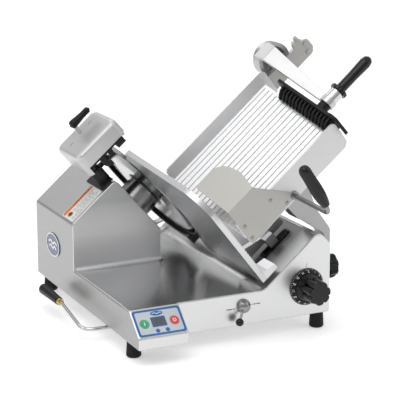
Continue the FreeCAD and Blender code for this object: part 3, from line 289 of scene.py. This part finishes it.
def brushed_metal(name, shade, rough, scale, turn=(0, 0, 0), grain=0.12, metal=1.0, painted_front_shade=1.0,
                  tint=(1, 1.003, 1.01)):
    """Brushed sheet: long thin scratches along one direction, and painted shade on the faces that look to
    the front.
    """
    g = Graph(name)
    lines = g.noise(420, 3, 0.65, g.mapped(scale, turn))
    soft = g.noise(7, 3, 0.5)
    # Faces that look to the front are darkened by the given factor: painted shade.
    tone = g.times(g.grained(lines, grain), g.vary(soft, 0.97, 1.03),
                   g.span(g.facing()[1], -1.0, -0.8, painted_front_shade, 1.0))
    colour = g.shaded(tone, shade, tint)
    normal = g.bump(lines, 0.03, 0.0001, g.rounded(0.0006))
    return g.finish(colour, metal, g.vary(lines, rough - 0.03, rough + 0.03), normal)


def turned_metal(name, shade, rough, grain=0.1):
    """Lathe-turned face: rings about the knife's axis."""
    g = Graph(name)
    from_centre = g.mapped(move=tuple(-c for c in KNIFE_CENTRE))
    local = g.split(g.mapped(turn=TILT_TURN, vector=from_centre))
    radius = g.math("SQRT", g.add(g.math("POWER", local[1], 2.0), g.math("POWER", local[2], 2.0)))
    out = g.new("ShaderNodeCombineXYZ")
    g.link(radius, out.inputs[0])
    rings = g.noise(1500, 3, 0.7, out.outputs[0])
    soft = g.noise(9, 3, 0.5)
    colour = g.shaded(g.grained(rings, grain), shade, (1, 1.004, 1.012))
    r = g.add(g.vary(rings, rough - 0.05, rough + 0.06), g.vary(soft, -0.02, 0.02))
    normal = g.bump(rings, 0.12, 0.00015, g.rounded(0.0005))
    return g.finish(colour, 1.0, r, normal)


def chrome(name, shade, rough):
    """Plated or polished steel with a faint haze."""
    g = Graph(name)
    haze = g.noise(40, 4, 0.6)
    fine = g.noise(600, 2, 0.5)
    r = g.add(g.span(haze, 0.35, 0.7, rough, rough + 0.06), g.vary(fine, -0.01, 0.02))
    colour = g.mix(haze, grey(shade * 0.95), grey(shade))
    normal = g.bump(fine, 0.02, 0.0001, g.rounded(0.0006))
    return g.finish(colour, 1.0, r, normal)


def plastic(name, colour, rough, grain=800, strength=0.1, coat=0.0, worn=0.0, shine=0.5):
    """Moulded plastic, film or paint with a fine grain, and worn spots where asked for."""
    g = Graph(name)
    fine = g.noise(grain, 3, 0.6)
    soft = g.noise(14, 4, 0.55)
    lighter = tuple(min(1.0, c * 1.25 + 0.006) for c in colour)
    base = g.mix(g.span(soft, 0.35, 0.7, 0.0, 0.6), colour, lighter)
    if worn:
        base = g.mix(g.span(g.noise(90, 6, 0.7), 0.58, 0.75, 0.0, worn), base, (0.35, 0.35, 0.35))
    r = g.add(g.vary(soft, rough - 0.05, rough + 0.05), g.vary(fine, -0.03, 0.03))
    normal = g.bump(fine, strength, 0.0002, g.rounded(0.0007))
    return g.finish(base, 0.0, r, normal, Coat_Weight=coat, Specular_IOR_Level=shine)


def brass(name):
    g = Graph(name)
    colour = g.mix(g.noise(60, 4, 0.6), (0.62, 0.42, 0.15), (0.74, 0.53, 0.22))
    r = g.vary(g.noise(90, 3, 0.6), 0.22, 0.34)
    return g.finish(colour, 1.0, r, g.bump(g.noise(500, 2, 0.5), 0.05, 0.0002, g.rounded(0.0005)))


def display_glass(name):
    g = Graph(name)
    colour = g.mix(g.noise(30, 3, 0.5), (0.075, 0.095, 0.13), (0.095, 0.115, 0.155))
    return g.finish(colour, 0.0, g.vary(g.noise(120, 3, 0.5), 0.06, 0.12), g.rounded(0.0005))


def studio_floor(name):
    g = Graph(name)
    colour = g.mix(g.noise(3, 3, 0.5), (0.78, 0.78, 0.78), (0.80, 0.80, 0.80))
    return g.finish(colour, 0.0, g.vary(g.noise(8, 3, 0.5), 0.55, 0.65), Emission_Color=(1, 1, 1),
                    Emission_Strength=0.42, Specular_IOR_Level=0.0)


# ---- mesh helpers ---------------------------------------------------------------
def mesh_piece(name, verts, faces, material, body, smooth=True):
    data = bpy.data.meshes.new(name)
    data.from_pydata([tuple(v) for v in verts], [], faces)
    data.validate()
    data.update()
    obj = bpy.data.objects.new(name, data)
    bpy.context.scene.collection.objects.link(obj)
    data.materials.append(material)
    bm = bmesh.new()
    bm.from_mesh(data)
    bmesh.ops.remove_doubles(bm, verts=bm.verts, dist=1e-7)
    bmesh.ops.recalc_face_normals(bm, faces=bm.faces)
    bm.to_mesh(data)
    bm.free()
    if smooth:
        for poly in data.polygons:
            poly.use_smooth = True
        data.set_sharp_from_angle(angle=math.radians(35))
    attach(obj, body)


def outline_plate(name, outline, place, h0, h1, material, body):
    """Flat plate: outline of (a, b) points, place(a, b, h) to row metres."""
    n = len(outline)
    verts = [place(a, b, h) for h in (h0, h1) for a, b in outline]
    faces = []
    for i in range(n):
        j = (i + 1) % n
        faces.append((i, j, n + j, n + i))
    faces.append(tuple(range(n))[::-1])
    faces.append(tuple(range(n, 2 * n)))
    mesh_piece(name, verts, faces, material, body)


def frame_plate(name, outer, inner, place, h0, h1, material, body):
    """Flat ring between two outlines with the same number of points."""
    n = len(outer)
    verts = []
    for line, h in ((outer, h0), (outer, h1), (inner, h1), (inner, h0)):
        verts += [place(a, b, h) for a, b in line]
    faces = []
    for row in range(4):
        up = (row + 1) % 4
        for i in range(n):
            j = (i + 1) % n
            faces.append((row * n + i, row * n + j, up * n + j, up * n + i))
    mesh_piece(name, verts, faces, material, body)


def strokes(name, lines, width, place, h0, h1, material, body):
    """Flat bars along (a0, b0, a1, b1) lines."""
    verts = []
    faces = []
    for a0, b0, a1, b1 in lines:
        length = math.hypot(a1 - a0, b1 - b0)
        na = -(b1 - b0) / length * width / 2
        nb = (a1 - a0) / length * width / 2
        base = len(verts)
        for h in (h0, h1):
            for a, b in ((a0 + na, b0 + nb), (a1 + na, b1 + nb), (a1 - na, b1 - nb), (a0 - na, b0 - nb)):
                verts.append(place(a, b, h))
        faces += [(base, base + 1, base + 2, base + 3), (base + 4, base + 5, base + 6, base + 7)]
        for i in range(4):
            j = (i + 1) % 4
            faces.append((base + i, base + j, base + 4 + j, base + 4 + i))
    mesh_piece(name, verts, faces, material, body, smooth=False)


def round_rect(a0, a1, b0, b1, r, steps=6):
    corners = ((a1 - r, b1 - r, 0), (a0 + r, b1 - r, 90), (a0 + r, b0 + r, 180), (a1 - r, b0 + r, 270))
    points = []
    for ca, cb, start in corners:
        for k in range(steps + 1):
            t = math.radians(start + 90 * k / steps)
            points.append((ca + r * math.cos(t), cb + r * math.sin(t)))
    return points


def ellipse(ca, cb, ra, rb, steps=48):
    turns = [2 * math.pi * k / steps for k in range(steps)]
    return [(ca + ra * math.cos(t), cb + rb * math.sin(t)) for t in turns]


def ring(name, centre, outer, inner, place, heights, material, body):
    outside = ellipse(*centre, outer, outer)
    frame_plate(name, outside, ellipse(*centre, inner, inner), place, *heights, material, body)


def zigzag(*points):
    """The lines that join a row of points."""
    return [(*start, *end) for start, end in zip(points, points[1:])]


# The bars of each digit from 0 to 9, named round the digit from its top with the middle bar last.
DIGIT_BARS = ("abcdef", "bc", "abged", "abgcd", "fgbc", "afgcd", "afgedc", "abc", "abcdefg", "abcdfg")


def digit_lines(a, b, width, height, digit):
    half = height / 2
    gap = height / 15
    right = a + width
    top = b + height
    bars = {
        "a": (a, top, right, top),
        "b": (right, b + half + gap, right, top - gap),
        "c": (right, b + gap, right, b + half - gap),
        "d": (a, b, right, b),
        "e": (a, b + gap, a, b + half - gap),
        "f": (a, b + half + gap, a, top - gap),
        "g": (a, b + half, right, b + half),
    }
    return [bars[key] for key in DIGIT_BARS[digit]]


def paint(material, *names):
    for name in names:
        data = NODES[name].data
        data.materials.clear()
        data.materials.append(material)
        for poly in data.polygons:
            poly.material_index = 0
            poly.use_smooth = True
        data.set_sharp_from_angle(angle=math.radians(32))


# ---- materials ------------------------------------------------------------------
CAST = polished_casting("CastAluminium", 0.67, 0.32, 0.20)
ARM_GREY = satin_metal("ChuteArmCasting", 0.38, 0.38, (1, 0.2, 1))
SHARP_GREY = satin_metal("SharpenerCasting", 0.58, 0.38, (1, 1, 0.3), metal=0.6)
DECK_GREY = satin_metal("CastAluminiumArm", 0.52, 0.34, (1, 0.2, 1))
GAUGE_METAL = brushed_metal("GaugeAluminium", 0.62, 0.30, (1, 0.03, 1), TILT_TURN, grain=0.05)
# The table's front faces get painted shade.
TABLE_METAL = brushed_metal("TableAluminium", 0.82, 0.34, (0.05, 1, 1), TILT_TURN, grain=0.04, metal=0.45,
                            painted_front_shade=0.76)
SHEET_METAL = brushed_metal("GuardSheet", 0.42, 0.40, (1, 0.05, 1), TILT_TURN, grain=0.03, metal=0.5,
                            tint=(1, 0.985, 0.93))
PLAIN_STEEL = brushed_metal("PlainSteel", 0.55, 0.3, (1, 0.08, 1), grain=0.1)
CHROME = chrome("ChromePlate", 0.62, 0.14)
DARK_STEEL = chrome("DarkSteel", 0.30, 0.24)
BRASS = brass("Brass")
BLACK = plastic("BlackPlastic", (0.006, 0.006, 0.007), 0.38, shine=0.22)
BLACK_GLOSS = plastic("BlackGloss", (0.003, 0.003, 0.004), 0.16, grain=300, strength=0.04, shine=0.35)
BLACK_PAINT = plastic("BlackPaint", (0.008, 0.008, 0.009), 0.34, grain=500, worn=0.06, shine=0.3)
RUBBER = plastic("FeetRubber", (0.008, 0.008, 0.008), 0.6, grain=600, strength=0.2, shine=0.2)
GREY_PAINT = plastic("GreyPaint", (0.22, 0.225, 0.23), 0.45, grain=500)
OVERLAY_WHITE = plastic("OverlayFilm", (0.47, 0.52, 0.56), 0.33, grain=1200, strength=0.03)
OVERLAY_BLUE = plastic("OverlayBlue", (0.020, 0.115, 0.34), 0.33, grain=1200, strength=0.03)
GREEN = plastic("GreenKey", (0.02, 0.34, 0.13), 0.30, strength=0.03)
RED = plastic("RedKey", (0.62, 0.03, 0.022), 0.30, strength=0.03)
WHITE_MARK = plastic("WhiteMark", (0.86, 0.87, 0.87), 0.42, strength=0.02)
BLACK_MARK = plastic("BlackMark", (0.02, 0.02, 0.022), 0.45, strength=0.02)
LABEL_WHITE = plastic("LabelFilm", (0.72, 0.71, 0.69), 0.40, strength=0.03)
LABEL_INK = plastic("LabelInk", (0.16, 0.16, 0.165), 0.45, strength=0.02)
LABEL_ORANGE = plastic("LabelOrange", (0.55, 0.16, 0.025), 0.38, strength=0.03)
BADGE_BLUE = plastic("BadgeEnamel", (0.008, 0.04, 0.13), 0.20, grain=200, strength=0.02, coat=0.4)
BOARD_GREEN = plastic("BoardGreen", (0.02, 0.12, 0.05), 0.4)
STONE = plastic("Abrasive", (0.30, 0.16, 0.12), 0.85, grain=1500, strength=0.5)
KNIFE_STEEL = turned_metal("KnifeSteel", 0.50, 0.20)
HUB_STEEL = turned_metal("HubSteel", 0.26, 0.26, grain=0.16)
COVER_METAL = turned_metal("KnifeCoverMetal", 0.64, 0.28)
DISPLAY = display_glass("DisplayGlass")
DISPLAY_INK = plastic("DisplayDigits", (0.014, 0.018, 0.03), 0.3, strength=0.02)

paint(CAST, "base_casting")
paint(PLAIN_STEEL, "bottom_cover", "motor_bracket")
paint(CHROME, "bottom_cover_screws", "gauge_rod", "carriage_rod", "pusher_rod", "pusher_collar",
      "sharpener_post", "lift_rod", "knife_bearings")
paint(DARK_STEEL, "selector_dome", "table_handle_rod", "guard_screws")
paint(RUBBER, "rubber_feet", "slot_boot", "drive_belt")
paint(BLACK, "cord_gland", "index_dial", "release_knob", "lift_grip", "pusher_plate", "sharpener_lever")
paint(BLACK_GLOSS, "index_knob", "selector_ball", "table_handle_grip", "pusher_handle")
paint(BLACK_PAINT, "ring_guard", "sharpener_cup", "sharpener_yoke")
paint(GREY_PAINT, "knife_pulley", "motor_pulley", "drive_motor")
paint(HUB_STEEL, "hub_housing", "knife_spindle", "index_cam")
paint(KNIFE_STEEL, "knife")
paint(COVER_METAL, "knife_cover")
paint(GAUGE_METAL, "gauge_plate")
paint(DECK_GREY, "gauge_arm", "carriage_block", "pusher_carrier")
paint(ARM_GREY, "chute_arm")
paint(SHARP_GREY, "sharpener_housing")
paint(TABLE_METAL, "product_table")
paint(SHEET_METAL, "thumb_guard", "pusher_bracket")
paint(BRASS, "pusher_bush", "lift_ferrule")
paint(STONE, "grinding_stone", "truing_stone")
paint(OVERLAY_WHITE, "panel_overlay")
paint(DISPLAY, "display_window")
paint(BOARD_GREEN, "control_board")
paint(GREEN, "start_button")
paint(RED, "stop_button")
paint(OVERLAY_BLUE, "mode_button", "speed_button")
paint(BADGE_BLUE, "badge")
paint(LABEL_WHITE, "label_plate")

# ---- control panel graphics -----------------------------------------------------
# Heights are above the panel's face; the film under the print is 1.4 thick and the keys 2.4.
START_KEY = (25, 35)
STOP_KEY = (98, 35)
FILM_PRINT = (1.3, 1.62)
KEY_PRINT = (2.3, 2.52)

frame_plate("panel_border", round_rect(3.6, 119.4, 3.6, PANEL_LEN - 4.6, 6.5),
            round_rect(8.6, 114.4, 8.6, PANEL_LEN - 9.6, 4), panel, *FILM_PRINT, OVERLAY_BLUE, "base")
outline_plate("panel_mark", ellipse(61, 58.5, 15, 5.8), panel, 1.3, 1.66, OVERLAY_BLUE, "base")
strokes("panel_mark_waves", zigzag((50, 58.5), (56, 60.5), (62, 56.5), (68, 60.5), (72, 58.5)), 1.4, panel,
        1.6, 1.78, WHITE_MARK, "base")
ring("start_ring", START_KEY, 11.6, 9.6, panel, FILM_PRINT, GREEN, "base")
ring("stop_ring", STOP_KEY, 11.6, 9.6, panel, FILM_PRINT, RED, "base")
strokes("start_icon", [(25, 31, 25, 39.5)], 2.0, panel, *KEY_PRINT, WHITE_MARK, "start_button")
ring("stop_icon", STOP_KEY, 4.6, 2.8, panel, KEY_PRINT, WHITE_MARK, "stop_button")
frame_plate("display_bezel", round_rect(42.5, 77.5, 24.5, 49.5, 1.5), round_rect(44, 76, 26, 48, 1), panel,
            1.4, 2.0, OVERLAY_BLUE, "base")
strokes("display_digits", digit_lines(52, 31, 5, 12, 0) + digit_lines(63, 31, 5, 12, 0), 1.2, panel,
        1.6, 1.72, DISPLAY_INK, "base")

# ---- index dial scale -----------------------------------------------------------
TICK_COUNT = 60
TICKS_PER_NUMERAL = 4
TICK_OUTER = 44.4
TICK_INNER = 43.0
LONG_TICK_INNER = 42.0
NUMERAL_FOOT = 37.4
NUMERAL_WIDTH = 2.2
NUMERAL_HEIGHT = 4.4
NUMERAL_SQUEEZE = 0.9
SECOND_DIGIT = 3.6


def dial_ticks():
    lines = []
    for i in range(TICK_COUNT):
        t = math.radians(360 / TICK_COUNT * i)
        inner = TICK_INNER if i % TICKS_PER_NUMERAL else LONG_TICK_INNER
        a, b = math.cos(t), math.sin(t)
        lines.append((inner * a, inner * b, TICK_OUTER * a, TICK_OUTER * b))
    return lines


def round_the_dial(a, b, t):
    """A numeral's own (across, up) to the dial's face, with its foot towards the centre."""
    b = NUMERAL_FOOT + b * NUMERAL_SQUEEZE
    return (a * math.sin(t) + b * math.cos(t), -a * math.cos(t) + b * math.sin(t))


def dial_numerals():
    count = TICK_COUNT // TICKS_PER_NUMERAL
    lines = []
    for i in range(count):
        t = math.radians(90 - 360 / count * i)
        digits = str(i)
        width = NUMERAL_WIDTH + SECOND_DIGIT * (len(digits) - 1)
        for place, digit in enumerate(digits):
            left = SECOND_DIGIT * place - width / 2
            for a0, b0, a1, b1 in digit_lines(left, 0, NUMERAL_WIDTH, NUMERAL_HEIGHT, int(digit)):
                lines.append((*round_the_dial(a0, b0, t), *round_the_dial(a1, b1, t)))
    return lines


strokes("dial_ticks", dial_ticks(), 0.7, dial_cone, -0.3, 0.15, WHITE_MARK, "index")
strokes("dial_numerals", dial_numerals(), 0.9, dial_cone, -0.3, 0.2, WHITE_MARK, "index")

# ---- sharpener marks ------------------------------------------------------------
SUNK_PRINT = (-0.3, 0.15)

for name, s, y in (("sharpener_mark_low", 284, 420), ("sharpener_mark_high", 356, 436)):
    lines = zigzag((s, y), (s + 5, y + 5), (s + 11, y + 3))
    strokes(name, lines, 2.4, saddle, *SUNK_PRINT, LABEL_INK, "sharpener")

# ---- selector marks -------------------------------------------------------------
thick_marks = [(-44, -4, -30, -4), (-28, -4, -22, -4), (26, 1, 32, 1), (34, 1, 44, 1)]
thin_marks = [(-21, -3, -14, -1.5), (14, 0.5, 25, 1)]
strokes("selector_marks", thick_marks, 2.2, front, *SUNK_PRINT, BLACK_MARK, "base")
strokes("selector_lines", thin_marks, 0.9, front, *SUNK_PRINT, BLACK_MARK, "base")

# ---- badge and warning label ----------------------------------------------------
frame_plate("badge_rim", ellipse(0, 0, 45.8, 29.8, 64), ellipse(0, 0, 42.2, 26.4, 64), badge,
            1.4, 2.3, CHROME, "base")
upper_wave = zigzag((-28, 4), (-14, 10), (0, 2), (14, 10), (28, 4))
lower_wave = zigzag((-24, -8), (-12, -2), (0, -10), (12, -2), (24, -8))
strokes("badge_waves", upper_wave + lower_wave, 4.0, badge, 1.5, 2.0, WHITE_MARK, "base")

outline_plate("label_stripe", round_rect(155, 254, 403, 418, 2), label, 0.65, 0.9, LABEL_ORANGE, "base")
dashes = [(190 + 7.0 * i, 410.5, 194.5 + 7.0 * i, 410.5) for i in range(8)]
strokes("label_dashes", dashes, 5.0, label, 0.8, 1.0, BLACK_MARK, "base")


def label_rows():
    """Eight rows of bars of uneven length. The lowest three start further left, below the symbol."""
    rows = []
    for i in range(8):
        b = 355.5 + 5.8 * i
        a = 178 if i > 2 else 158
        while a < 244:
            run = random.uniform(5, 13)
            rows.append((a, b, min(a + run, 251), b))
            a += run + 2.2
    return rows


strokes("label_lines", label_rows(), 1.5, label, 0.65, 0.85, LABEL_INK, "base")
outline_plate("label_symbol", ellipse(166, 388, 8.5, 11, 32), label, 0.65, 0.95, LABEL_ORANGE, "base")
outline_plate("label_symbol_core", ellipse(166, 388, 5.0, 7, 32), label, 0.9, 1.05, BLACK_MARK, "base")

# ---- stage ----------------------------------------------------------------------
data = bpy.data.meshes.new("studio_floor")
data.from_pydata([(-60, -30, 0), (60, -30, 0), (60, 90, 0), (-60, 90, 0)], [], [(0, 1, 2, 3)])
data.materials.append(studio_floor("StudioFloor"))
floor = bpy.data.objects.new("studio_floor", data)
bpy.context.scene.collection.objects.link(floor)


def area_light(name, place, aim, size, power):
    lamp = bpy.data.lights.new(name, "AREA")
    lamp.shape = "RECTANGLE"
    lamp.size, lamp.size_y = size
    lamp.energy = power
    obj = bpy.data.objects.new(name, lamp)
    obj.location = place
    obj.rotation_euler = (Vector(aim) - Vector(place)).to_track_quat("-Z", "Y").to_euler()
    bpy.context.scene.collection.objects.link(obj)


area_light("KeyTop", (-0.9, -0.9, 2.4), (0, 0, 0.2), (1.6, 1.6), 14)
area_light("FillLeft", (-2.6, 0.2, 1.5), (0, 0, 0.3), (1.2, 1.8), 8)
area_light("FillRight", (2.4, -1.6, 1.4), (0, 0, 0.3), (1.2, 1.8), 7)
area_light("BackTop", (0.2, 2.4, 2.4), (0, 0, 0.3), (2.0, 0.9), 9)


def studio_world(name, strength):
    """A soft sky that grows from grey below to white overhead."""
    world = bpy.data.worlds.new(name)
    bpy.context.scene.world = world
    world.use_nodes = True
    tree = world.node_tree
    tree.nodes.clear()
    output = tree.nodes.new("ShaderNodeOutputWorld")
    background = tree.nodes.new("ShaderNodeBackground")
    ramp = tree.nodes.new("ShaderNodeValToRGB")
    parts = tree.nodes.new("ShaderNodeSeparateXYZ")
    coord = tree.nodes.new("ShaderNodeTexCoord")
    tree.links.new(coord.outputs["Generated"], parts.inputs[0])
    tree.links.new(parts.outputs[2], ramp.inputs[0])
    for spot, level in ((0.30, 0.52), (0.62, 0.85)):
        ramp.color_ramp.elements.new(spot).color = (*grey(level), 1)
    ramp.color_ramp.elements[0].color = (0.30, 0.30, 0.305, 1)
    ramp.color_ramp.elements[-1].color = (1.0, 1.0, 1.0, 1)
    tree.links.new(ramp.outputs[0], background.inputs[0])
    background.inputs[1].default_value = strength
    tree.links.new(background.outputs[0], output.inputs[0])


studio_world("Studio", 0.95)

# ---- camera ---------------------------------------------------------------------
YAW = math.radians(25.6)
PITCH = math.radians(14.4)
cam_data = bpy.data.cameras.new("Camera")
cam_data.lens = 135.0
cam_data.sensor_width = 36.0
cam_data.clip_end = 100
cam = bpy.data.objects.new("Camera", cam_data)
bpy.context.scene.collection.objects.link(cam)
cam.location = upright(-1227.2, -2933.2, 1179.4)
look = Vector((math.sin(YAW) * math.cos(PITCH), math.cos(YAW) * math.cos(PITCH), -math.sin(PITCH)))
cam.rotation_euler = look.to_track_quat("-Z", "Y").to_euler()
bpy.context.scene.camera = cam

view = bpy.context.scene.view_settings
view.view_transform = "Standard"
view.look = "None"
view.exposure = 0.0
